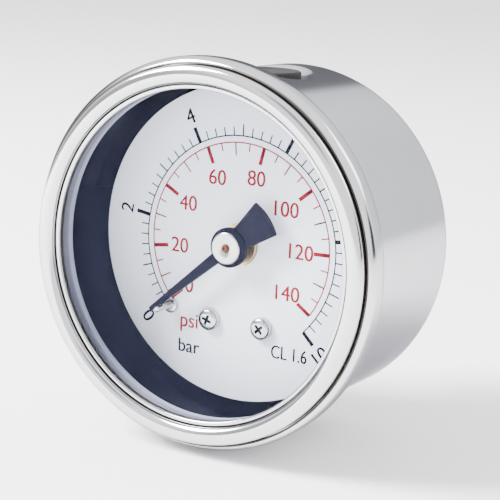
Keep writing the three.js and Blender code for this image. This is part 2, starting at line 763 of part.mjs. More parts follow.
// Socket: one brass forging with the thread, the wrench flats, a flange inside the case and the tube's arm.
function makeSocket() {
  const stem = turned([
    [0, 0],
    [threadRadius - threadChamfer, 0],
    [threadRadius, -threadChamfer],
    [threadRadius, shoulderY + threadReliefLength],
    [threadReliefRadius, shoulderY + threadReliefLength],
    [threadReliefRadius, shoulderY - 1],
    [0, shoulderY - 1],
  ], midFacets);
  const half = wrenchFlats / 2;
  const flats = block(-half, half, neckY, shoulderY, -half, half)
    .intersect(rod(wrenchCornerRadius, neckY - 1, shoulderY + 1, [0, 0], midFacets));
  const neck = rod(wrenchCornerRadius, flangeBackY - 1, neckY, [0, 0], midFacets);
  const flange = rod(flangeRadius, flangeY, flangeBackY, [0, 0], midFacets);
  const ears = block(-earReach, earReach, flangeY, flangeBackY, -earHalfWidth, earHalfWidth);
  const bossTop = bossHalfWidth - 3;
  const boss = block(-bossHalfWidth, bossHalfWidth, blockY, flangeY + 1, -bossHalfWidth, bossTop);
  const arm = block(-armHalfWidth, armHalfWidth, blockY, flangeBackY, -armReach, 0);
  const port = rod(portRadius, tubeY - feedRadius, 1);
  const feed = upright(rod(feedRadius, -tubeRadius - feedRadius, 0), tubeY);
  const crossFeed = rod(feedRadius - 0.3, -armHalfWidth, 0)
    .rotate([0, 0, -90])
    .translate([0, tubeY, -tubeRadius]);
  const pocketTop = -Math.sqrt(tubeInner ** 2 - (armHalfWidth + 0.2) ** 2) + 2 * runningFit;
  const pocketFloor = -Math.sqrt(tubeOuter ** 2 - pocketEndX ** 2) - runningFit;
  const pocketHalf = tubeWidth / 2 + runningFit;
  const [pocketFront, pocketBack] = [tubeY - pocketHalf, tubeY + pocketHalf];
  const pocket = block(-armHalfWidth - 1, -pocketEndX, pocketFront, pocketBack, pocketFloor, pocketTop);
  const earHoles = [-1, 1].map((side) => rod(
    caseScrewShank + runningFit, flangeY - 1, flangeBackY + 1, [side * caseScrewCircle, 0]));
  const baseHoles = [leftBaseScrew, rightBaseScrew].map((at) => rod(
    plateScrewShank + runningFit, blockY - 1, blockY + 3.5, at));
  add('socket', cut(join(stem, flats, neck, flange, ears, boss, arm),
    port, feed, crossFeed, pocket, ...earHoles, ...baseHoles), 'brass');

  add('socket_seal', turned([
    [wrenchCornerRadius + 2 * runningFit, sealY],
    [caseScrewCircle - caseScrewShank - 4 * runningFit, sealY],
    [caseScrewCircle - caseScrewShank - 4 * runningFit, sealY + sealThickness],
    [wrenchCornerRadius + 2 * runningFit, sealY + sealThickness],
  ], midFacets), 'rubber');

  const restrictorY = shoulderY + threadReliefLength;
  const restrictor = turned([
    [restrictorHole, restrictorY],
    [portRadius - runningFit, restrictorY],
    [portRadius - runningFit, restrictorY + restrictorLength],
    [restrictorHole, restrictorY + restrictorLength],
  ], smallFacets);
  const slotY = restrictorY + restrictorLength;
  const slot = block(-portRadius, portRadius, slotY - 0.8, slotY + 1, -0.3, 0.3);
  add('restrictor_screw', cut(restrictor, slot), 'brass');

  ['left', 'right'].forEach((side, i) => {
    const x = (i === 0 ? -1 : 1) * caseScrewCircle;
    const body = screw({
      at: [0, 0],
      headY: 0,
      head: caseScrewHead,
      headHeight: caseScrewHeadHeight,
      shank: caseScrewShank,
      length: sheet + sealThickness + flangeThickness - 0.4,
      recess: 'cross',
    });
    const headBackY = caseBackY + seatGap;
    const placed = body.rotate([180, 0, 0]).translate([x, headBackY + caseScrewHeadHeight, 0]);
    add(`case_screw_${side}`, placed, 'steel');
  });
}

makeCase();
makeFrontRing();
makeWindow();
makeVentPlug();
makeDial();
makeStopPin();
makePointer();
makePointerArbor();
makeSector();
makeLink();
makeMovement();
makeHairspring();
makeTube();
makeSocket();

export default gauge;
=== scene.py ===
import json
import math

import bmesh
import bpy
from mathutils import Matrix, Vector


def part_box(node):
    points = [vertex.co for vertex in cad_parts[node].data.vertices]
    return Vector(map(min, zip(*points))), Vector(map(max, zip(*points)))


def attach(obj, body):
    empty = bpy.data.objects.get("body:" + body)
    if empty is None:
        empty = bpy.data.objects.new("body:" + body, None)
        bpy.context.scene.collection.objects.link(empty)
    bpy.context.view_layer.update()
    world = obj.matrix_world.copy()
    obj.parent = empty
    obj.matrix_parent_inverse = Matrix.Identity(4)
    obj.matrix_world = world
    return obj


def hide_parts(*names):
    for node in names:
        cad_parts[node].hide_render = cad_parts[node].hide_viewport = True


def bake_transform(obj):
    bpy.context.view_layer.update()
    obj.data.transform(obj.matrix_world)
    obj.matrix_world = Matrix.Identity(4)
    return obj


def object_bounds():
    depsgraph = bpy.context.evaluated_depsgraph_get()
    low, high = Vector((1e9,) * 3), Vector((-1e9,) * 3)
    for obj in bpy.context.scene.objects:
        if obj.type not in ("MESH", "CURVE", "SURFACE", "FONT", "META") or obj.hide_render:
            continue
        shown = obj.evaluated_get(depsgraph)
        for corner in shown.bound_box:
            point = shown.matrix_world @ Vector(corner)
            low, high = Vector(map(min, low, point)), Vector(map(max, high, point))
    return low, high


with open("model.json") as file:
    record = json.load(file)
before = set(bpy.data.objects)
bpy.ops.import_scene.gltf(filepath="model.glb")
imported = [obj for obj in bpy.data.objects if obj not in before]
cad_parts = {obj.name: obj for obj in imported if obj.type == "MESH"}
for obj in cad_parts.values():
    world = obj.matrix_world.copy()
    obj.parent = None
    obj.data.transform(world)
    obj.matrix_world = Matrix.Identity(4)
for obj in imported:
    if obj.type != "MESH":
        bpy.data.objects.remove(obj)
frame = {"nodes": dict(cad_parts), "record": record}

cad_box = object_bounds()
MM = 0.001

# ---------------------------------------------------------------------------
# Socket: one brass forging, turned and milled. A G 1/4 stem and 14 mm flats stand out of the
# case; inside, a flange is screwed to the case back and an arm carries the Bourdon tube.
# ---------------------------------------------------------------------------

THREAD_PITCH = 1.337 * MM
THREAD_DEPTH = 0.86 * MM
THREAD_RELIEF = 2.0 * MM
THREAD_RIDGE = 0.62 * MM
STEM_RADIUS = 6.58 * MM
STEM_LENGTH = 13.0 * MM
STEM_CHAMFER = 1.0 * MM
END_CHAMFER = 0.4 * MM
STEM_ROOT = 0.4 * MM
STUB = 0.1 * MM
PORT_RADIUS = 2.45 * MM
PORT_CHAMFER = 0.3 * MM
PORT_BEHIND_RESTRICTOR = 2 * MM


def tidy_mesh(mesh, sharp=math.radians(32)):
    """Merges doubles, points the faces out, shades smooth and keeps the crisp edges crisp."""
    work = bmesh.new()
    work.from_mesh(mesh)
    bmesh.ops.remove_doubles(work, verts=work.verts, dist=1e-7)
    bmesh.ops.recalc_face_normals(work, faces=work.faces)
    for face in work.faces:
        face.smooth = True
    for edge in work.edges:
        edge.smooth = len(edge.link_faces) == 2 and edge.calc_face_angle() < sharp
    work.to_mesh(mesh)
    work.free()


def add_object(name, mesh, material=None):
    piece = bpy.data.objects.new(name, mesh)
    bpy.context.collection.objects.link(piece)
    if material:
        mesh.materials.clear()
        mesh.materials.append(material)
    return piece


def turned_mesh(name, profile, steps=256):
    """A mesh turned about the Y axis from (radius, y) points. It closes on the axis or on itself."""
    work = bmesh.new()
    rings = []
    for radius, y in profile:
        if radius < 1e-7:
            rings.append([work.verts.new((0, y, 0))] * steps)
            continue
        angles = [2 * math.pi * i / steps for i in range(steps)]
        rings.append([work.verts.new((radius * math.sin(a), y, radius * math.cos(a))) for a in angles])
    if profile[0][0] > 1e-7 or profile[-1][0] > 1e-7:
        rings.append(rings[0])
    for near, far in zip(rings, rings[1:]):
        for i in range(steps):
            j = (i + 1) % steps
            corners = []
            for vertex in (near[i], near[j], far[j], far[i]):
                if vertex not in corners:
                    corners.append(vertex)
            if len(corners) > 2:
                work.faces.new(corners)
    mesh = bpy.data.meshes.new(name)
    work.to_mesh(mesh)
    work.free()
    return mesh


def new_material(name):
    """An empty node material: its shader, and a function that adds and wires a node."""
    material = bpy.data.materials.new(name)
    material.use_nodes = True
    tree = material.node_tree
    tree.nodes.clear()
    output = tree.nodes.new("ShaderNodeOutputMaterial")
    shader = tree.nodes.new("ShaderNodeBsdfPrincipled")
    tree.links.new(shader.outputs["BSDF"], output.inputs["Surface"])

    def node(kind, wires=None, **settings):
        made = tree.nodes.new(kind)
        for key, value in settings.items():
            setattr(made, key, value)
        for key, value in (wires or {}).items():
            if isinstance(value, bpy.types.NodeSocket):
                tree.links.new(value, made.inputs[key])
            else:
                made.inputs[key].default_value = value
        return made

    return material, shader, node, tree


def turning_marks(node):
    """Coordinates that are the same all round the axis, so a pattern on them is turning marks."""
    place = node("ShaderNodeTexCoord").outputs["Object"]
    parts = node("ShaderNodeSeparateXYZ", {"Vector": place})
    flat = node("ShaderNodeCombineXYZ", {"X": parts.outputs["X"], "Y": parts.outputs["Z"]})
    radius = node("ShaderNodeVectorMath", {0: flat.outputs["Vector"]}, operation="LENGTH")
    both = node("ShaderNodeCombineXYZ", {"X": radius.outputs["Value"], "Y": parts.outputs["Y"]})
    return place, both.outputs["Vector"]


def worked_metal(name, colour, shade, roughness, marks=0.15, mark_scale=9000.0, bloom=220.0, rim=(1, 1, 1)):
    """Bare metal: turning marks round the axis, cloudy patches of handling, a little colour change.
    rim is the tint of what it reflects at a glancing angle."""
    material, shader, node, tree = new_material(name)
    place, around = turning_marks(node)
    cloud = node("ShaderNodeTexNoise", {"Vector": place, "Scale": bloom, "Detail": 4.0, "Roughness": 0.6})
    lines = node("ShaderNodeTexNoise", {"Vector": around, "Scale": mark_scale, "Detail": 2.0})
    tint = node("ShaderNodeMix", {"Factor": cloud.outputs["Fac"]}, data_type="RGBA")
    tint.inputs[6].default_value = (*colour, 1)
    tint.inputs[7].default_value = (*shade, 1)
    blend = node("ShaderNodeMath", {0: cloud.outputs["Fac"], 1: lines.outputs["Fac"]}, operation="ADD")
    rough = node("ShaderNodeMapRange", {"Value": blend.outputs["Value"], "From Min": 0.6, "From Max": 1.4,
                                        "To Min": roughness[0], "To Max": roughness[1]})
    bump = node("ShaderNodeBump", {"Height": lines.outputs["Fac"], "Strength": marks, "Distance": 0.01 * MM})
    tree.links.new(tint.outputs[2], shader.inputs["Base Color"])
    tree.links.new(rough.outputs["Result"], shader.inputs["Roughness"])
    tree.links.new(bump.outputs["Normal"], shader.inputs["Normal"])
    shader.inputs["Metallic"].default_value = 1.0
    shader.inputs["Specular Tint"].default_value = (*rim, 1)
    return material


socket_brass = worked_metal("socket_brass", (0.60, 0.40, 0.15), (0.44, 0.28, 0.09), (0.2, 0.32), marks=0.3)

stem_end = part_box("socket")[1].y
shoulder = stem_end - STEM_LENGTH


def named_inputs(tree, sizes):
    for label, kind in sizes:
        tree.interface.new_socket(label, in_out="INPUT", socket_type=kind)
    tree.interface.new_socket("Geometry", in_out="OUTPUT", socket_type="NodeSocketGeometry")


def run_tree(name, tree, values):
    """Runs a node tree on an empty mesh with the given inputs and returns the plain mesh it makes."""
    holder = add_object(name, bpy.data.meshes.new(name))
    modifier = holder.modifiers.new("shape", "NODES")
    modifier.node_group = tree
    for item in tree.interface.items_tree:
        if item.item_type == "SOCKET" and item.in_out == "INPUT" and item.name in values:
            modifier[item.identifier] = values[item.name]
    bpy.context.view_layer.update()
    evaluated = holder.evaluated_get(bpy.context.evaluated_depsgraph_get())
    mesh = bpy.data.meshes.new_from_object(evaluated)
    bpy.data.objects.remove(holder)
    mesh.name = name
    return mesh


def thread_tree():
    """A helical ridge: a diamond section swept along a spiral that climbs the stem."""
    tree = bpy.data.node_groups.new("thread", "GeometryNodeTree")
    named_inputs(tree, [("Pitch Radius", "NodeSocketFloat"), ("Length", "NodeSocketFloat"),
                        ("Turns", "NodeSocketFloat"), ("Ridge", "NodeSocketFloat"),
                        ("Start", "NodeSocketFloat"), ("Material", "NodeSocketMaterial")])
    sizes = tree.nodes.new("NodeGroupInput")
    spiral = tree.nodes.new("GeometryNodeCurveSpiral")
    spiral.inputs["Resolution"].default_value = 64
    section = tree.nodes.new("GeometryNodeCurvePrimitiveCircle")
    section.inputs["Resolution"].default_value = 4
    sweep = tree.nodes.new("GeometryNodeCurveToMesh")
    sweep.inputs["Fill Caps"].default_value = True
    turn = tree.nodes.new("GeometryNodeTransform")
    turn.inputs["Rotation"].default_value = (math.radians(-90), 0, 0)
    place = tree.nodes.new("ShaderNodeCombineXYZ")
    realize = tree.nodes.new("GeometryNodeRealizeInstances")
    paint = tree.nodes.new("GeometryNodeSetMaterial")
    output = tree.nodes.new("NodeGroupOutput")
    wire = tree.links.new
    wire(sizes.outputs["Pitch Radius"], spiral.inputs["Start Radius"])
    wire(sizes.outputs["Pitch Radius"], spiral.inputs["End Radius"])
    wire(sizes.outputs["Length"], spiral.inputs["Height"])
    wire(sizes.outputs["Turns"], spiral.inputs["Rotations"])
    wire(sizes.outputs["Ridge"], section.inputs["Radius"])
    wire(sizes.outputs["Start"], place.inputs["Y"])
    wire(spiral.outputs["Curve"], sweep.inputs["Curve"])
    wire(section.outputs["Curve"], sweep.inputs["Profile Curve"])
    wire(sweep.outputs["Mesh"], turn.inputs["Geometry"])
    wire(place.outputs["Vector"], turn.inputs["Translation"])
    wire(turn.outputs["Geometry"], realize.inputs["Geometry"])
    wire(realize.outputs["Geometry"], paint.inputs["Geometry"])
    wire(sizes.outputs["Material"], paint.inputs["Material"])
    wire(paint.outputs["Geometry"], output.inputs["Geometry"])
    return tree


def join_meshes(name, meshes, material=None):
    """Several meshes as one, each kept whole."""
    work = bmesh.new()
    for mesh in meshes:
        work.from_mesh(mesh)
    joined = bpy.data.meshes.new(name)
    work.to_mesh(joined)
    work.free()
    if material:
        joined.materials.append(material)
    return joined


core_radius = STEM_RADIUS - THREAD_DEPTH
port_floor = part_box("restrictor_screw")[0].y - PORT_BEHIND_RESTRICTOR
stem_core = turned_mesh("stem_core", [
    (core_radius, shoulder - STEM_ROOT),
    (core_radius, stem_end - STEM_CHAMFER),
    (core_radius - END_CHAMFER, stem_end),
    (PORT_RADIUS + PORT_CHAMFER, stem_end),
    (PORT_RADIUS, stem_end - PORT_CHAMFER),
    (PORT_RADIUS, port_floor),
    (0, port_floor),
    (0, shoulder - STEM_ROOT),
], 128)
thread_start = shoulder + THREAD_RELIEF
thread_length = stem_end - STEM_CHAMFER * 0.6 - THREAD_RIDGE - thread_start
thread = run_tree("thread", thread_tree(), {
    "Pitch Radius": STEM_RADIUS - THREAD_RIDGE,
    "Length": thread_length,
    "Turns": thread_length / THREAD_PITCH,
    "Ridge": THREAD_RIDGE,
    "Start": thread_start,
    "Material": socket_brass,
})
# The CAD solid's plain stem is cut off at the shoulder, and the threaded one stands in its place.
forging = bmesh.new()
forging.from_mesh(frame["nodes"]["socket"].data)
bmesh.ops.remove_doubles(forging, verts=forging.verts, dist=1e-7)
cut = bmesh.ops.bisect_plane(forging, geom=[*forging.verts, *forging.edges, *forging.faces],
                             plane_co=(0, shoulder + STUB, 0), plane_no=(0, 1, 0), clear_outer=True)
rim = [item for item in cut["geom_cut"] if isinstance(item, bmesh.types.BMEdge)]
bmesh.ops.triangle_fill(forging, edges=rim, use_beauty=True, use_dissolve=False)
body_mesh = bpy.data.meshes.new("socket_body")
forging.to_mesh(body_mesh)
forging.free()
body_mesh.transform(frame["nodes"]["socket"].matrix_world)
socket_mesh = join_meshes("threaded_socket", [body_mesh, stem_core, thread], socket_brass)
for face in socket_mesh.polygons:
    face.material_index = 0
socket = add_object("threaded_socket", socket_mesh)
tidy_mesh(socket.data)
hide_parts("socket")
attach(socket, "housing")

# ---------------------------------------------------------------------------
# Case: a deep cup drawn from 0.8 mm stainless sheet and polished. Its mouth steps out into a
# rolled bead, and a round dimple at 12 o'clock is drawn in to seat the vent plug.
# ---------------------------------------------------------------------------

stainless = worked_metal("polished_stainless", (0.64, 0.64, 0.655), (0.56, 0.56, 0.58), (0.07, 0.14),
                         marks=0.05, mark_scale=5000.0, bloom=90.0, rim=(0.42, 0.42, 0.46))
# A near-black steel that stands for shade: painted shade in the seam between ring and bead, in the ring's
# groove and bore, and in the screws' cross recesses.
painted_shade_steel = worked_metal("painted_shade_steel", (0.07, 0.062, 0.058), (0.035, 0.031, 0.029), (0.35, 0.55), marks=0.1)

# The case's inner wall behind the ledge: near black with a faint gloss.
dark_inner_wall, dark_wall_shader, dark_wall_node, dark_wall_tree = new_material("dark_inner_wall")
dark_wall_place = dark_wall_node("ShaderNodeTexCoord").outputs["Object"]
dark_wall_cloud = dark_wall_node("ShaderNodeTexNoise", {"Vector": dark_wall_place, "Scale": 200.0, "Detail": 3.0})
dark_wall_rough = dark_wall_node("ShaderNodeMapRange", {"Value": dark_wall_cloud.outputs["Fac"], "To Min": 0.12,
                                                    "To Max": 0.22})
dark_wall_tree.links.new(dark_wall_rough.outputs["Result"], dark_wall_shader.inputs["Roughness"])
dark_wall_shader.inputs["Base Color"].default_value = (0.001, 0.001, 0.004, 1)
dark_wall_shader.inputs["Specular IOR Level"].default_value = 0.012


def arc(radius, y, size, start, end, steps=8):
    """Points of a round corner in a profile, between two angles in degrees."""
    points = []
    for i in range(steps + 1):
        angle = math.radians(start + (end - start) * i / steps)
        points.append((radius + size * math.cos(angle), y + size * math.sin(angle)))
    return points


def cut_mesh(name, body, tools):
    """The body mesh with each tool cut from it."""
    base = add_object(name, body)
    helpers = []
    for tool in tools:
        helper = add_object("tool", tool)
        modifier = base.modifiers.new("cut", "BOOLEAN")
        modifier.operation = "DIFFERENCE"
        modifier.solver = "EXACT"
        modifier.object = helper
        helpers.append(helper)
    bpy.context.view_layer.update()
    mesh = bpy.data.meshes.new_from_object(base.evaluated_get(bpy.context.evaluated_depsgraph_get()))
    for helper in [base, *helpers]:
        bpy.data.objects.remove(helper)
    mesh.name = name
    return mesh


case_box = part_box("case")
bead_radius = case_box[1].x
mouth = case_box[0].y
case_back = case_box[1].y
SHEET = 0.8 * MM
BARREL = 31.0 * MM
BEAD_LENGTH = 5.4 * MM
BEAD_CORNER = 1.9 * MM
BACK_CORNER = 2.4 * MM
RING_SEAT = 32.7 * MM
LIP_THROAT = 0.5 * MM
LIP_INNER = 0.8 * MM
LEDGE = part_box("window_gasket")[1].y + 0.05 * MM
NECK_HOLE = 9.1 * MM
VENT_SEAT = BARREL - 1.6 * MM
VENT_RADIUS = 6.6 * MM
VENT_FLARE = 2.7 * MM
VENT_HOLE = 5.1 * MM
VENT_CUTTER = 8 * MM
plug_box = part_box("vent_plug")
vent_y = (plug_box[0].y + plug_box[1].y) / 2

bead_back = mouth + BEAD_LENGTH
barrel_rear = case_back - BACK_CORNER


def barrel_rows(radius, near, far, count=96):
    """Evenly spaced points along a straight wall, without its two ends, for the dimple to bend."""
    return [(radius, near + (far - near) * i / count) for i in range(1, count)]


case_profile = [
    (NECK_HOLE, case_back),
    *arc(BARREL - BACK_CORNER, barrel_rear, BACK_CORNER, 90, 0),
    *barrel_rows(BARREL, barrel_rear, bead_back),
    (BARREL, bead_back),
    *arc(bead_radius - BEAD_CORNER, bead_back - BEAD_CORNER, BEAD_CORNER, 90, 0),
    *arc(bead_radius - BEAD_CORNER, mouth + BEAD_CORNER, BEAD_CORNER, 0, -67),
    (RING_SEAT, mouth + LIP_THROAT),
    (RING_SEAT, mouth + LIP_INNER),
    (bead_radius - SHEET, mouth + LIP_INNER),
    (bead_radius - SHEET, LEDGE),
    (BARREL - SHEET, LEDGE),
    *barrel_rows(BARREL - SHEET, LEDGE, barrel_rear),
    *arc(BARREL - BACK_CORNER, barrel_rear, BACK_CORNER - SHEET, 0, 90),
    (NECK_HOLE, case_back - SHEET),
]


def press_dimple(mesh):
    """Draws the sheet in round the vent: flat at the seat, easing out to the barrel over the flare."""
    for vertex in mesh.vertices:
        x, y, z = vertex.co
        if z < 0 or math.hypot(x, z) > BARREL + 0.01 * MM:
            continue
        away = math.hypot(x, y - vent_y)
        ease = min(1, max(0, (away - VENT_RADIUS) / VENT_FLARE))
        ease = ease * ease * (3 - 2 * ease)
        inner = math.hypot(x, z) < BARREL - SHEET / 2
        seat = VENT_SEAT - (SHEET if inner else 0)
        if z > seat:
            vertex.co.z = seat + (z - seat) * ease


case_mesh = turned_mesh("case_shell", case_profile, 384)
press_dimple(case_mesh)
vent_hole = turned_mesh("vent_hole", [(0, 0), (VENT_HOLE, 0), (VENT_HOLE, VENT_CUTTER), (0, VENT_CUTTER)], 96)
upright = Matrix.Rotation(math.radians(90), 4, "X")
vent_hole.transform(Matrix.Translation((0, vent_y, VENT_SEAT - VENT_CUTTER / 2)) @ upright)
case = add_object("case_shell", cut_mesh("case_shell", case_mesh, [vent_hole]), stainless)
tidy_mesh(case.data)
case.data.materials.append(dark_inner_wall)
case.data.materials.append(painted_shade_steel)
# The wall behind the ledge is near black with a faint gloss, and the throat between bead and ring gets the
# near-black steel: painted shade in the seam.
for face in case.data.polygons:
    middle = face.center
    radius = math.hypot(middle.x, middle.z)
    inward = face.normal.x * middle.x + face.normal.z * middle.z < 0
    inner_wall = inward and radius < BARREL - SHEET / 3
    if middle.y > LEDGE - 0.01 * MM and (inner_wall or middle.y < LEDGE + 0.01 * MM):
        face.material_index = 1
    elif middle.y < mouth + 0.75 * MM and radius < bead_radius - 0.85 * MM:
        face.material_index = 2
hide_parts("case")
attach(case, "housing")

# ---------------------------------------------------------------------------
# Vent plug: moulded black nitrile rubber, pushed into the hole in the barrel. It blows out if
# the tube ever bursts inside the case.
# ---------------------------------------------------------------------------


def rubber(name, colour, dust, roughness):
    """Moulded rubber: a fine grain, and paler dust that gathers in patches."""
    material, shader, node, tree = new_material(name)
    place = node("ShaderNodeTexCoord").outputs["Object"]
    grain = node("ShaderNodeTexNoise", {"Vector": place, "Scale": 6000.0, "Detail": 3.0})
    patches = node("ShaderNodeTexNoise", {"Vector": place, "Scale": 350.0, "Detail": 5.0, "Roughness": 0.7})
    tint = node("ShaderNodeMix", {"Factor": patches.outputs["Fac"]}, data_type="RGBA")
    tint.inputs[6].default_value = (*colour, 1)
    tint.inputs[7].default_value = (*dust, 1)
    rough = node("ShaderNodeMapRange", {"Value": patches.outputs["Fac"], "To Min": roughness - 0.1,
                                        "To Max": roughness + 0.1})
    bump = node("ShaderNodeBump", {"Height": grain.outputs["Fac"], "Strength": 0.35, "Distance": 0.03 * MM})
    tree.links.new(tint.outputs[2], shader.inputs["Base Color"])
    tree.links.new(rough.outputs["Result"], shader.inputs["Roughness"])
    tree.links.new(bump.outputs["Normal"], shader.inputs["Normal"])
    shader.inputs["Specular IOR Level"].default_value = 0.2
    return material


black_rubber = rubber("black_rubber", (0.010, 0.009, 0.010), (0.028, 0.026, 0.028), 0.8)
SPIGOT = 5.0 * MM
SPIGOT_CHAMFER = 0.4 * MM
CAP = 6.5 * MM
CAP_ROUND = 0.5 * MM
DISH = 4.9 * MM
DISH_EDGE = 5.2 * MM
DISH_DEPTH = 0.25 * MM
plug_top = plug_box[1].z
plug_low = plug_box[0].z
seat_top = VENT_SEAT + 0.05 * MM
plug = add_object("vent_plug_rubber", turned_mesh("vent_plug_rubber", [
    (0, plug_low),
    (SPIGOT - SPIGOT_CHAMFER, plug_low),
    (SPIGOT, plug_low + SPIGOT_CHAMFER),
    (SPIGOT, seat_top),
    (CAP, seat_top),
    *arc(CAP - CAP_ROUND, plug_top - CAP_ROUND, CAP_ROUND, 0, 90, 6),
    (DISH_EDGE, plug_top - 0.02 * MM),
    (DISH, plug_top - DISH_DEPTH),
    (0, plug_top - DISH_DEPTH),
], 128), black_rubber)
plug.data.transform(Matrix.Translation((0, vent_y, 0)) @ upright)
tidy_mesh(plug.data)
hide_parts("vent_plug")
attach(plug, "vent_plug")

# ---------------------------------------------------------------------------
# Movement, tube and linkage: stamped brass plates on turned pillars, a bronze Bourdon tube and
# bright steel screws. They sit behind the dial and keep the CAD solids' own shapes.
# ---------------------------------------------------------------------------

movement_brass = worked_metal("movement_brass", (0.80, 0.62, 0.30), (0.68, 0.50, 0.22), (0.25, 0.4), marks=0.2)
spring_bronze = worked_metal("spring_bronze", (0.72, 0.46, 0.26), (0.58, 0.34, 0.17), (0.25, 0.42), marks=0.15)
bright_steel = worked_metal("bright_steel", (0.62, 0.62, 0.63), (0.45, 0.45, 0.47), (0.12, 0.26), marks=0.2)

FINISH = {"movement_brass": movement_brass, "spring_bronze": spring_bronze, "screw_steel": bright_steel,
          "socket_brass": socket_brass, "black_rubber": black_rubber, "polished_stainless": stainless}
for part in frame["record"]["subparts"]:
    finish = FINISH.get(part["material_slot"])
    if finish:
        solid = frame["nodes"][part["node"]]
        solid.data.materials.clear()
        solid.data.materials.append(finish)

# The tube is soldered into the socket at one end and its free end carries the tip; the CAD solid's shape is
# copied unchanged.
tube_mesh = frame["nodes"]["bourdon_tube"].data.copy()
tube_mesh.transform(frame["nodes"]["bourdon_tube"].matrix_world)
tube = add_object("bourdon_tube_bronze", tube_mesh, spring_bronze)
tidy_mesh(tube.data)
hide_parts("bourdon_tube")
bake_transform(tube)

# ---------------------------------------------------------------------------
# Dial: an aluminium disc painted matt white, pierced for the shaft, two screws and the stop pin.
# The scales are printed on it: bar in black outside, psi in red inside.
# ---------------------------------------------------------------------------


def paint(name, colour, shade, roughness, gloss=0.4, grain=0.08):
    """Sprayed or printed paint: a fine orange-peel grain and a hardly visible change of tone."""
    material, shader, node, tree = new_material(name)
    place = node("ShaderNodeTexCoord").outputs["Object"]
    peel = node("ShaderNodeTexNoise", {"Vector": place, "Scale": 2500.0, "Detail": 2.0})
    tone = node("ShaderNodeTexNoise", {"Vector": place, "Scale": 60.0, "Detail": 3.0})
    tint = node("ShaderNodeMix", {"Factor": tone.outputs["Fac"]}, data_type="RGBA")
    tint.inputs[6].default_value = (*colour, 1)
    tint.inputs[7].default_value = (*shade, 1)
    rough = node("ShaderNodeMapRange", {"Value": peel.outputs["Fac"], "To Min": roughness - 0.05,
                                        "To Max": roughness + 0.05})
    bump = node("ShaderNodeBump", {"Height": peel.outputs["Fac"], "Strength": grain, "Distance": 0.02 * MM})
    tree.links.new(tint.outputs[2], shader.inputs["Base Color"])
    tree.links.new(rough.outputs["Result"], shader.inputs["Roughness"])
    tree.links.new(bump.outputs["Normal"], shader.inputs["Normal"])
    shader.inputs["Specular IOR Level"].default_value = gloss
    return material


dial_white = paint("dial_white", (0.86, 0.91, 0.99), (0.83, 0.88, 0.98), 0.5)
ink_black = paint("ink_black", (0.003, 0.003, 0.007), (0.005, 0.005, 0.010), 0.45, 0.04)
ink_red = paint("ink_red", (0.26, 0.003, 0.010), (0.22, 0.003, 0.008), 0.45, 0.04)

dial_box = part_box("dial")
dial_face = dial_box[0].y
dial_back = dial_box[1].y
dial_radius = dial_box[1].x
BUSHING_HOLE = 3.8 * MM
DIAL_EDGE = 0.12 * MM
dial = add_object("dial_plate", turned_mesh("dial_plate", [
    (BUSHING_HOLE, dial_face),
    *arc(dial_radius - DIAL_EDGE, dial_face + DIAL_EDGE, DIAL_EDGE, -90, 0, 4),
    (dial_radius, dial_back),
    (BUSHING_HOLE, dial_back),
]), dial_white)
tidy_mesh(dial.data)
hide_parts("dial")
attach(dial, "housing")

BAR_RADIUS = 19.42 * MM
PSI_RADIUS = 18.22 * MM
INK = 0.02 * MM
REST = -130.0
EVEN_ZERO = -135.0
SWEEP = 270.0
PSI_AT_10_BAR = 145.04
BAR_STEP = SWEEP / 10
PSI_STEP = SWEEP / PSI_AT_10_BAR


def scale_tree():
    """A row of printed ticks on part of a circle: one thin bar, turned about the axis again and again.
    Each Skip Every-th place of the row, and so its first, stays empty."""
    tree = bpy.data.node_groups.new("scale_ticks", "GeometryNodeTree")
    named_inputs(tree, [("Count", "NodeSocketInt"), ("First Angle", "NodeSocketFloat"),
                        ("Step", "NodeSocketFloat"), ("Middle Radius", "NodeSocketFloat"),
                        ("Size", "NodeSocketVector"),
                        ("Skip Every", "NodeSocketInt"), ("Face", "NodeSocketFloat"),
                        ("Material", "NodeSocketMaterial")])
    wire = tree.links.new

    def node(kind, wires=None, **settings):
        made = tree.nodes.new(kind)
        for key, value in settings.items():
            setattr(made, key, value)
        for key, value in (wires or {}).items():
            if isinstance(value, bpy.types.NodeSocket):
                wire(value, made.inputs[key])
            else:
                made.inputs[key].default_value = value
        return made

    sizes = node("NodeGroupInput").outputs
    points = node("GeometryNodeMeshLine", {"Count": sizes["Count"], "Offset": (0, 0, 0)})
    bar = node("GeometryNodeMeshCube", {"Size": sizes["Size"]})
    out = node("ShaderNodeCombineXYZ", {"Y": sizes["Face"], "Z": sizes["Middle Radius"]})
    placed = node("GeometryNodeTransform", {"Geometry": bar.outputs["Mesh"],
                                            "Translation": out.outputs["Vector"]})
    index = node("GeometryNodeInputIndex").outputs["Index"]
    along = node("ShaderNodeMath", {0: index, 1: sizes["Step"], 2: sizes["First Angle"]},
                 operation="MULTIPLY_ADD")
    turn = node("ShaderNodeCombineXYZ", {"Y": along.outputs["Value"]})
    place_in_row = node("ShaderNodeMath", {0: index, 1: sizes["Skip Every"]}, operation="MODULO")
    kept = node("ShaderNodeMath", {0: place_in_row.outputs["Value"], 1: 0.5}, operation="GREATER_THAN")
    row = node("GeometryNodeInstanceOnPoints", {"Points": points.outputs["Mesh"],
                                                "Instance": placed.outputs["Geometry"],
                                                "Selection": kept.outputs["Value"],
                                                "Rotation": turn.outputs["Vector"]})
    real = node("GeometryNodeRealizeInstances", {"Geometry": row.outputs["Instances"]})
    inked = node("GeometryNodeSetMaterial", {"Geometry": real.outputs["Geometry"],
                                             "Material": sizes["Material"]})
    node("NodeGroupOutput", {"Geometry": inked.outputs["Geometry"]})
    return tree


ticks = scale_tree()
face_of_print = dial_face - INK / 2


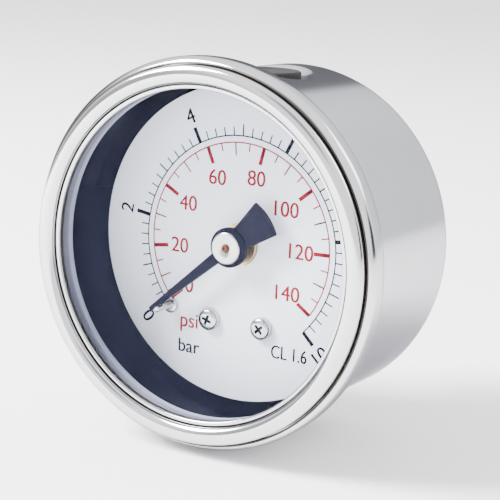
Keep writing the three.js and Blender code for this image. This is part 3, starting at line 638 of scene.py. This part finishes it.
def tick_row(count, first, step, near, length, width, material, skip=1000):
    """One row of ticks. Angles are clockwise from 12 o'clock; near is the end that touches the arc."""
    return run_tree("ticks", ticks, {
        "Count": count + 1,
        "First Angle": math.radians(first - step),
        "Step": math.radians(step),
        "Middle Radius": near + length / 2,
        "Size": (width, INK, abs(length)),
        "Skip Every": skip,
        "Face": face_of_print,
        "Material": material,
    })


def arc_band(radius, width, start, end, steps=160):
    """A thin printed arc."""
    work = bmesh.new()
    rows = []
    for i in range(steps + 1):
        angle = math.radians(start + (end - start) * i / steps)
        row = []
        for r in (radius - width / 2, radius + width / 2):
            for y in (dial_face, dial_face - INK):
                row.append(work.verts.new((r * math.sin(angle), y, r * math.cos(angle))))
        rows.append(row)
    order = (0, 1, 3, 2)
    for near, far in zip(rows, rows[1:]):
        for k in range(4):
            a, b = order[k], order[(k + 1) % 4]
            work.faces.new((near[a], near[b], far[b], far[a]))
    for row in (rows[0], rows[-1]):
        work.faces.new([row[k] for k in order])
    mesh = bpy.data.meshes.new("arc")
    work.to_mesh(mesh)
    work.free()
    return mesh


def lettering(text, height, x, z, angle=0.0, narrow=0.96, weight=0.05 * MM):
    """Printed figures centred on a point of the dial, turned clockwise by an angle."""
    curve = bpy.data.curves.new("figures", "FONT")
    curve.body = text
    curve.align_x = "CENTER"
    curve.align_y = "CENTER"
    curve.size = 1.0
    curve.extrude = 0.0
    writer = add_object("figures", curve)
    bpy.context.view_layer.update()
    mesh = bpy.data.meshes.new_from_object(writer.evaluated_get(bpy.context.evaluated_depsgraph_get()))
    bpy.data.objects.remove(writer)
    across = [v.co.x for v in mesh.vertices]
    along = [v.co.y for v in mesh.vertices]
    size = height / (max(along) - min(along))
    mesh.transform(Matrix.Translation((-(max(across) + min(across)) / 2, -(max(along) + min(along)) / 2, 0)))
    mesh.transform(Matrix.Diagonal((size * narrow, size, 1, 1)))
    strokes = []
    for aside in (-weight, 0, weight):
        stroke = mesh.copy()
        stroke.transform(Matrix.Translation((aside, 0, aside * 0.02)))
        strokes.append(stroke)
    mesh = join_meshes("figures", strokes)
    mesh.transform(Matrix.Rotation(math.radians(90), 4, "X"))
    mesh.transform(Matrix.Rotation(math.radians(angle), 4, "Y"))
    mesh.transform(Matrix.Translation((x, dial_face - INK, z)))
    work = bmesh.new()
    work.from_mesh(mesh)
    grown = bmesh.ops.extrude_face_region(work, geom=list(work.faces))
    for item in grown["geom"]:
        if isinstance(item, bmesh.types.BMVert):
            item.co.y += INK
    work.to_mesh(mesh)
    work.free()
    return mesh


def on_dial(angle, radius):
    return radius * math.sin(math.radians(angle)), radius * math.cos(math.radians(angle))


FINE = 0.24 * MM
MEDIUM = 0.26 * MM
BOLD = 0.7 * MM
BAR_TICK = 1.55 * MM
BAR_HALF = 2.1 * MM
BAR_MAIN = 2.9 * MM
PSI_TICK = -1.45 * MM
PSI_HALF = -2.3 * MM
PSI_MAIN = -3.1 * MM
BAR_FIGURE = 2.7 * MM
BAR_FIGURE_RADIUS = BAR_RADIUS + 5.1 * MM
BAR_END_RADIUS = BAR_RADIUS + 5.2 * MM
PSI_FIGURE = 2.75 * MM
PSI_FIGURE_RADIUS = 12.6 * MM
PSI_WIDE_RADIUS = 12.0 * MM
PSI_ZERO_RADIUS = 13.5 * MM
bar_parts = [
    arc_band(BAR_RADIUS, FINE, REST, EVEN_ZERO + 10 * BAR_STEP),
    tick_row(49, EVEN_ZERO + 0.4 * BAR_STEP, 0.2 * BAR_STEP, BAR_RADIUS, BAR_TICK, FINE, ink_black),
    tick_row(5, EVEN_ZERO + BAR_STEP, 2 * BAR_STEP, BAR_RADIUS, BAR_HALF, MEDIUM, ink_black),
    tick_row(5, EVEN_ZERO + 2 * BAR_STEP, 2 * BAR_STEP, BAR_RADIUS, BAR_MAIN, BOLD, ink_black),
    tick_row(1, REST, BAR_STEP, BAR_RADIUS, BAR_MAIN, BOLD, ink_black),
    lettering("0", BAR_FIGURE, *on_dial(REST, BAR_END_RADIUS), REST + 180),
    lettering("10", BAR_FIGURE, *on_dial(-EVEN_ZERO, BAR_END_RADIUS), -EVEN_ZERO - 180),
    lettering("bar", 2.5 * MM, -9.8 * MM, -20.2 * MM, narrow=0.98),
    lettering("CL 1.6", 2.4 * MM, 11.1 * MM, -18.2 * MM, narrow=0.8),
]
for bar in (2, 4, 6, 8):
    angle = EVEN_ZERO + bar * BAR_STEP
    bar_parts.append(lettering(str(bar), BAR_FIGURE, *on_dial(angle, BAR_FIGURE_RADIUS), angle))
bar_print = add_object("bar_scale", join_meshes("bar_scale", bar_parts), ink_black)
psi_parts = [
    arc_band(PSI_RADIUS, FINE, REST, EVEN_ZERO + 140 * PSI_STEP),
    tick_row(28, EVEN_ZERO + 5 * PSI_STEP, 5 * PSI_STEP, PSI_RADIUS, PSI_TICK, FINE, ink_red),
    tick_row(7, EVEN_ZERO + 10 * PSI_STEP, 20 * PSI_STEP, PSI_RADIUS, PSI_HALF, MEDIUM, ink_red),
    tick_row(7, EVEN_ZERO + 20 * PSI_STEP, 20 * PSI_STEP, PSI_RADIUS, PSI_MAIN, BOLD, ink_red),
    tick_row(1, REST, PSI_STEP, PSI_RADIUS, PSI_MAIN, BOLD, ink_red),
    lettering("0", PSI_FIGURE, *on_dial(REST - 1, PSI_ZERO_RADIUS)),
    lettering("psi", 3.5 * MM, -9.95 * MM, -15.9 * MM, narrow=0.92),
]
for psi in range(20, 141, 20):
    angle = EVEN_ZERO + psi * PSI_STEP
    radius = PSI_WIDE_RADIUS if psi == 100 else PSI_FIGURE_RADIUS
    psi_parts.append(lettering(str(psi), PSI_FIGURE, *on_dial(angle, radius)))
psi_print = add_object("psi_scale", join_meshes("psi_scale", psi_parts), ink_red)
for piece in (bar_print, psi_print):
    tidy_mesh(piece.data)
    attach(piece, "housing")

# ---------------------------------------------------------------------------
# Dial screws: two steel pan-head screws with cross recesses, turned down into the dial posts.
# ---------------------------------------------------------------------------

left_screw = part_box("dial_screw_left")
right_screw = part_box("dial_screw_right")
head_radius = (left_screw[1].x - left_screw[0].x) / 2
head_front = left_screw[0].y
head_back = dial_face - 0.05 * MM
screw_end = left_screw[1].y
RECESS_REACH = 1.4 * MM
RECESS_HALF = 0.27 * MM
RECESS_DEPTH = 0.95 * MM
SHANK = 0.95 * MM
SHANK_POINT = 0.6 * MM
head_height = head_back - head_front
screw_profile = [
    (0, head_front),
    (head_radius * 0.5, head_front + head_height * 0.02),
    (head_radius * 0.78, head_front + head_height * 0.08),
    (head_radius * 0.9, head_front + head_height * 0.2),
    (head_radius * 0.97, head_front + head_height * 0.36),
    (head_radius, head_front + head_height * 0.55),
    (head_radius, head_back),
    (SHANK, head_back),
    (SHANK, screw_end - 0.4 * MM),
    (SHANK_POINT, screw_end),
    (0, screw_end),
]


def box_mesh(low, high):
    work = bmesh.new()
    bmesh.ops.create_cube(work, size=1)
    size = Vector(high) - Vector(low)
    middle = (Vector(high) + Vector(low)) / 2
    work.transform(Matrix.Translation(middle) @ Matrix.Diagonal((*size, 1)))
    mesh = bpy.data.meshes.new("block")
    work.to_mesh(mesh)
    work.free()
    return mesh


def cross_recess(front, depth, reach, half):
    """The two arms of a cross recess, drawn in to a point at the foot."""
    arms = []
    for turn in (0, 90):
        arm = box_mesh((-reach, front - 1 * MM, -half), (reach, front + depth, half))
        for vertex in arm.vertices:
            if vertex.co.y > front:
                vertex.co.x *= 0.45
        arm.transform(Matrix.Rotation(math.radians(turn + 20), 4, "Y"))
        arms.append(arm)
    return arms


screw_mesh = cut_mesh("pan_head_screw", turned_mesh("pan_head_screw", screw_profile, 64),
                      cross_recess(head_front, RECESS_DEPTH, RECESS_REACH, RECESS_HALF))
screw_mesh.materials.clear()
screw_mesh.materials.append(bright_steel)
screw_mesh.materials.append(painted_shade_steel)
tidy_mesh(screw_mesh)
# The faces inside the cross recess get the near-black steel: painted shade in the recess.
for face in screw_mesh.polygons:
    middle = face.center
    into_head = middle.y - head_front
    in_recess = 0.12 * MM < into_head < RECESS_DEPTH + 0.05 * MM
    face.material_index = 1 if in_recess and math.hypot(middle.x, middle.z) < RECESS_REACH else 0
for name, low_high, turn in (("left", left_screw, 0), ("right", right_screw, 28)):
    copy = screw_mesh.copy()
    middle = (low_high[0] + low_high[1]) / 2
    copy.transform(Matrix.Translation((middle.x, 0, middle.z)) @ Matrix.Rotation(math.radians(turn), 4, "Y"))
    screw = add_object(f"dial_screw_{name}_steel", copy)
    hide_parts(f"dial_screw_{name}")
    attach(screw, "housing")

# ---------------------------------------------------------------------------
# Stop pin: turned steel with a collar, riveted through the dial beside the pointer's zero.
# ---------------------------------------------------------------------------

pin_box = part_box("stop_pin")
pin_middle = (pin_box[0] + pin_box[1]) / 2
pin_front = pin_box[0].y
COLLAR = 1.45 * MM
PIN = 0.55 * MM
collar_front = dial_face - 0.85 * MM
pin_profile = [
    (0, pin_front),
    (PIN - 0.2 * MM, pin_front),
    (PIN, pin_front + 0.2 * MM),
    (PIN, collar_front - 0.1 * MM),
    (PIN + 0.1 * MM, collar_front),
    *arc(COLLAR - 0.25 * MM, collar_front + 0.25 * MM, 0.25 * MM, -90, 0, 5),
    (COLLAR, dial_face - 0.05 * MM),
    (PIN, dial_face - 0.05 * MM),
    (PIN, pin_box[1].y),
    (0, pin_box[1].y),
]
pin_mesh = turned_mesh("stop_pin_steel", pin_profile, 64)
pin_mesh.transform(Matrix.Translation((pin_middle.x, 0, pin_middle.z)))
pin = add_object("stop_pin_steel", pin_mesh, bright_steel)
tidy_mesh(pin.data)
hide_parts("stop_pin")
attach(pin, "housing")

# ---------------------------------------------------------------------------
# Pointer: stamped aluminium, painted satin black. A tapered blade, a fan-shaped counterweight
# and a disc round the shaft, with a bright steel cap pressed on.
# ---------------------------------------------------------------------------

pointer_black = paint("pointer_black", (0.003, 0.003, 0.008), (0.005, 0.005, 0.011), 0.38, 0.05, grain=0.05)

pointer_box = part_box("pointer")
POINTER_BACK = pointer_box[1].y
BLADE = 0.6 * MM
DISC = 1.0 * MM
DISC_RADIUS = 3.57 * MM
REACH = 21.3 * MM
TAIL_REACH = 9.9 * MM
TAIL_HALF = 20
ROOT_HALF = 1.15 * MM
TIP_HALF = 0.42 * MM
NECK_HALF = 1.5 * MM
SHAFT_HOLE = 0.76 * MM
DISC_ROUND = 0.15 * MM


def flat_mesh(name, outline, front, thickness):
    """A flat piece from an outline of (x, z) points, given clockwise or anticlockwise."""
    work = bmesh.new()
    rows = [[work.verts.new((x, y, z)) for x, z in outline] for y in (front, front + thickness)]
    count = len(outline)
    work.faces.new(rows[0])
    work.faces.new(list(reversed(rows[1])))
    for i in range(count):
        j = (i + 1) % count
        work.faces.new((rows[0][j], rows[0][i], rows[1][i], rows[1][j]))
    mesh = bpy.data.meshes.new(name)
    work.to_mesh(mesh)
    work.free()
    return mesh


blade_outline = [(-ROOT_HALF, 0), (ROOT_HALF, 0), (TIP_HALF, REACH), (-TIP_HALF, REACH)]
tail_outline = [(NECK_HALF, 0), (-NECK_HALF, 0)]
for i in range(13):
    angle = 180 - TAIL_HALF + 2 * TAIL_HALF * (12 - i) / 12
    tail_outline.append(on_dial(angle, TAIL_REACH))
front = POINTER_BACK - BLADE
disc_mesh = turned_mesh("disc", [
    (SHAFT_HOLE, POINTER_BACK - DISC),
    *arc(DISC_RADIUS - DISC_ROUND, POINTER_BACK - DISC + DISC_ROUND, DISC_ROUND, -90, 0, 4),
    (DISC_RADIUS, POINTER_BACK),
    (SHAFT_HOLE, POINTER_BACK),
], 128)
pointer_mesh = join_meshes("pointer_blade", [
    flat_mesh("blade", blade_outline, front, BLADE),
    flat_mesh("tail", tail_outline, front + 0.01 * MM, BLADE - 0.02 * MM),
    disc_mesh,
])
pointer_mesh.transform(Matrix.Rotation(math.radians(REST), 4, "Y"))
pointer = add_object("pointer_blade", pointer_mesh, pointer_black)
tidy_mesh(pointer.data)
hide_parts("pointer")
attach(pointer, "pointer_shaft")

CAP_HOLE = 0.7 * MM
CAP_SINK = 0.95 * MM
CAP_EDGE = 0.3 * MM
hub_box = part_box("pointer_hub")
hub_radius = hub_box[1].x
hub = add_object("pointer_cap", turned_mesh("pointer_cap", [
    (CAP_HOLE, hub_box[0].y + 0.12 * MM),
    (CAP_SINK, hub_box[0].y),
    *arc(hub_radius - CAP_EDGE, hub_box[0].y + CAP_EDGE, CAP_EDGE, -90, 0, 6),
    (hub_radius, hub_box[1].y),
    (CAP_HOLE, hub_box[1].y),
], 128), bright_steel)
tidy_mesh(hub.data)
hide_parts("pointer_hub")
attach(hub, "pointer_shaft")

arbor_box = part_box("pointer_arbor")
arbor_radius = arbor_box[1].x
arbor_front = arbor_box[0].y
arbor_profile = [
    (0, arbor_front + 0.35 * MM),
    (0.2 * MM, arbor_front + 0.3 * MM),
    (0.3 * MM, arbor_front),
    (arbor_radius - 0.12 * MM, arbor_front),
    (arbor_radius, arbor_front + 0.12 * MM),
    (arbor_radius, arbor_box[1].y),
    (0, arbor_box[1].y),
]
# The shaft end's bronze is made dark brown to stand for the shade in the cap's bore: bronze with painted
# shade.
shaded_shaft_bronze = worked_metal("shaded_shaft_bronze", (0.20, 0.09, 0.035), (0.10, 0.045, 0.018), (0.3, 0.5),
                            marks=0.4)
arbor = add_object("pointer_shaft_end", turned_mesh("pointer_shaft_end", arbor_profile, 64), shaded_shaft_bronze)
tidy_mesh(arbor.data)
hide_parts("pointer_arbor")
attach(arbor, "pointer_shaft")

# ---------------------------------------------------------------------------
# Window and gasket: a flat pane of instrument glass that lies on a grey nitrile ring.
# ---------------------------------------------------------------------------


def window_glass():
    """Clear glass with a faint cool cast; a little smear of handling in its gloss."""
    material, shader, node, tree = new_material("window_glass")
    place = node("ShaderNodeTexCoord").outputs["Object"]
    smear = node("ShaderNodeTexNoise", {"Vector": place, "Scale": 120.0, "Detail": 4.0})
    rough = node("ShaderNodeMapRange", {"Value": smear.outputs["Fac"], "To Min": 0.02, "To Max": 0.06})
    tree.links.new(rough.outputs["Result"], shader.inputs["Roughness"])
    shader.inputs["Base Color"].default_value = (0.30, 0.34, 0.62, 1)
    shader.inputs["Alpha"].default_value = 0.01
    shader.inputs["IOR"].default_value = 1.5
    return material


grey_rubber = rubber("grey_rubber", (0.20, 0.21, 0.29), (0.28, 0.29, 0.38), 0.5)
GASKET_HOLE = 28.9 * MM
gasket_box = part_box("window_gasket")
gasket_profile = [
    (GASKET_HOLE, gasket_box[0].y),
    (gasket_box[1].x, gasket_box[0].y),
    (gasket_box[1].x, gasket_box[1].y),
    (GASKET_HOLE, gasket_box[1].y),
]
gasket = add_object("window_gasket_rubber", turned_mesh("window_gasket_rubber", gasket_profile), grey_rubber)
tidy_mesh(gasket.data)
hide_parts("window_gasket")
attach(gasket, "housing")

window_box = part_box("window")
window_radius = window_box[1].x
GLASS_ARRIS = 0.2 * MM
window_profile = [
    (0, window_box[0].y),
    (window_radius - GLASS_ARRIS, window_box[0].y),
    (window_radius, window_box[0].y + GLASS_ARRIS),
    (window_radius, window_box[1].y - GLASS_ARRIS),
    (window_radius - GLASS_ARRIS, window_box[1].y),
    (0, window_box[1].y),
]
window = add_object("window_pane", turned_mesh("window_pane", window_profile), window_glass())
tidy_mesh(window.data)
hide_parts("window")
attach(window, "housing")

# ---------------------------------------------------------------------------
# Front ring: pressed from stainless sheet and polished. A full round face, a narrow lip round the
# window, and a skirt that the mouth of the case is rolled over.
# ---------------------------------------------------------------------------

ring_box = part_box("bezel_ring")
crown = ring_box[0].y
skirt_radius = ring_box[1].x
OPENING = 28.55 * MM
RING = 32.6 * MM
LIP_ROUND = 0.3 * MM
GROOVE_START = 0.62 * MM
GROOVE_END = 0.88 * MM
GROOVE_FOOT = 2.1 * MM
CROWN_HEIGHT = 1.25 * MM
CROWN_STEPS = 24
SKIRT = 0.75 * MM
window_top = window_box[0].y - 0.05 * MM
shoulder_y = mouth + 0.85 * MM
skirt_end = ring_box[1].y
ring_profile = [
    (OPENING, window_top),
    (OPENING, crown + 1.75 * MM),
    *arc(OPENING + LIP_ROUND, crown + 1.65 * MM, LIP_ROUND, 180, 270, 6),
    (OPENING + GROOVE_START, crown + 1.36 * MM),
    (OPENING + GROOVE_START + 0.04 * MM, crown + GROOVE_FOOT),
    (OPENING + GROOVE_END - 0.04 * MM, crown + GROOVE_FOOT),
]
face_middle = (OPENING + GROOVE_END + RING) / 2
face_half = (RING - OPENING - GROOVE_END) / 2
for i in range(CROWN_STEPS + 1):
    turn = math.pi * i / CROWN_STEPS
    drop = CROWN_HEIGHT * (1 - math.sin(turn) ** 0.8)
    ring_profile.append((face_middle - face_half * math.cos(turn), crown + drop))
ring_profile += [
    (RING, shoulder_y),
    (skirt_radius, shoulder_y),
    (skirt_radius, skirt_end),
    (skirt_radius - SKIRT, skirt_end),
    (skirt_radius - SKIRT, window_top),
]
ring = add_object("front_ring", turned_mesh("front_ring", ring_profile, 384), stainless)
tidy_mesh(ring.data)
ring.data.materials.append(painted_shade_steel)
# The groove behind the lip, the bore at the window and the outer side wall get the near-black steel: painted
# shade in the groove, at the bore and in the seam.
for face in ring.data.polygons:
    middle = face.center
    radius = math.hypot(middle.x, middle.z)
    sunk = middle.y - crown
    in_groove = OPENING + 0.6 * MM < radius < OPENING + 0.89 * MM and sunk > 1.3 * MM
    on_bore = radius < OPENING + 0.02 * MM and sunk > 1.8 * MM
    in_seam = RING - 0.03 * MM < radius < RING + 0.2 * MM and sunk > 1.26 * MM
    face.material_index = 1 if in_groove or on_bore or in_seam else 0
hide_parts("bezel_ring")
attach(ring, "housing")

# ---------------------------------------------------------------------------
# Studio: a pale floor just under the gauge, a white room with a few soft grey flags in it, and two
# soft area lights, the key from the left and the other from behind on the right.
# ---------------------------------------------------------------------------

floor_mesh = bpy.data.meshes.new("floor")
floor_mesh.from_pydata([(-3, -3, 0), (3, -3, 0), (3, 3, 0), (-3, 3, 0)], [], [(0, 1, 2, 3)])
floor_material, floor_shader, *_ = new_material("pale_floor")
floor_shader.inputs["Base Color"].default_value = (0.93, 0.93, 0.93, 1)
floor_shader.inputs["Roughness"].default_value = 0.9
floor = add_object("floor", floor_mesh, floor_material)
floor.location.z = cad_box[0][2] - 1 * MM

world = bpy.data.worlds.new("room")
world.use_nodes = True
room = world.node_tree
room_look = room.nodes.new("ShaderNodeTexCoord").outputs["Generated"]


def flag(direction, width, edge, depth):
    """Light of the room round a soft grey flag: depth within it, 1 well outside it. Width is the flag's
    half angle in degrees, and edge is how far beyond that it fades out."""
    dot = room.nodes.new("ShaderNodeVectorMath")
    dot.operation = "DOT_PRODUCT"
    room.links.new(room_look, dot.inputs[0])
    dot.inputs[1].default_value = Vector(direction).normalized()
    fade = room.nodes.new("ShaderNodeMapRange")
    fade.interpolation_type = "SMOOTHSTEP"
    room.links.new(dot.outputs["Value"], fade.inputs["Value"])
    fade.inputs["From Min"].default_value = math.cos(math.radians(width))
    fade.inputs["From Max"].default_value = math.cos(math.radians(width + edge))
    fade.inputs["To Min"].default_value = depth
    return fade.outputs["Result"]


ROOM_LIGHT = 2.4
room_level = room.nodes.new("ShaderNodeValue")
room_level.outputs[0].default_value = ROOM_LIGHT
light = room_level.outputs[0]
for one in (flag((0.42, 0.88, 0.10), 12, 26, 0.78),
            flag((-0.42, 0.87, 0.22), 13, 5, 0.22),
            flag((-0.75, -0.60, 0.05), 8, 22, 0.35),
            flag((0.10, -0.80, 0.62), 6, 16, 0.3),
            flag((0.95, 0.15, 0.05), 10, 14, 0.05),
            flag((-0.95, 0.20, 0.15), 10, 18, 0.1)):
    both = room.nodes.new("ShaderNodeMath")
    both.operation = "MULTIPLY"
    room.links.new(light, both.inputs[0])
    room.links.new(one, both.inputs[1])
    light = both.outputs["Value"]
room.links.new(light, room.nodes["Background"].inputs["Strength"])
room.nodes["Background"].inputs["Color"].default_value = (0.97, 0.98, 1, 1)
bpy.context.scene.world = world


def soft_light(name, power, size, place, target=(0, -0.04, 0)):
    data = bpy.data.lights.new(name, "AREA")
    data.energy = power
    data.size = size
    light = bpy.data.objects.new(name, data)
    light.location = place
    light.rotation_euler = (Vector(target) - Vector(place)).to_track_quat("-Z", "Y").to_euler()
    bpy.context.collection.objects.link(light)


soft_light("key", 44, 0.4, (-0.55, -0.42, 0.6))
soft_light("rear", 4, 0.5, (0.6, 0.5, 0.6))

# ---------------------------------------------------------------------------
# Camera: to the right of the gauge and a little above it, level with a slight roll.
# ---------------------------------------------------------------------------

AZIMUTH = math.radians(30.62)
ELEVATION = math.radians(11.41)
ROLL = math.radians(2.37)
DISTANCE = 287.65 * MM
LENS = 116.85
OFFSET_RIGHT = 1.98 * MM
OFFSET_UP = -0.85 * MM

back = Vector((math.sin(AZIMUTH) * math.cos(ELEVATION), -math.cos(AZIMUTH) * math.cos(ELEVATION),
               math.sin(ELEVATION)))
level_right = Vector((math.cos(AZIMUTH), math.sin(AZIMUTH), 0))
level_up = back.cross(level_right)
right = level_right * math.cos(ROLL) + level_up * math.sin(ROLL)
up = level_up * math.cos(ROLL) - level_right * math.sin(ROLL)
place = Vector((0, dial_face, 0)) + back * DISTANCE + level_right * OFFSET_RIGHT + level_up * OFFSET_UP
camera_data = bpy.data.cameras.new("camera")
camera_data.lens = LENS
camera_data.sensor_width = 36
camera_data.clip_start = 0.01
camera_data.clip_end = 20
camera = bpy.data.objects.new("camera", camera_data)
camera.matrix_world = Matrix.Translation(place) @ Matrix((right, up, back)).transposed().to_4x4()
bpy.context.collection.objects.link(camera)
bpy.context.scene.camera = camera
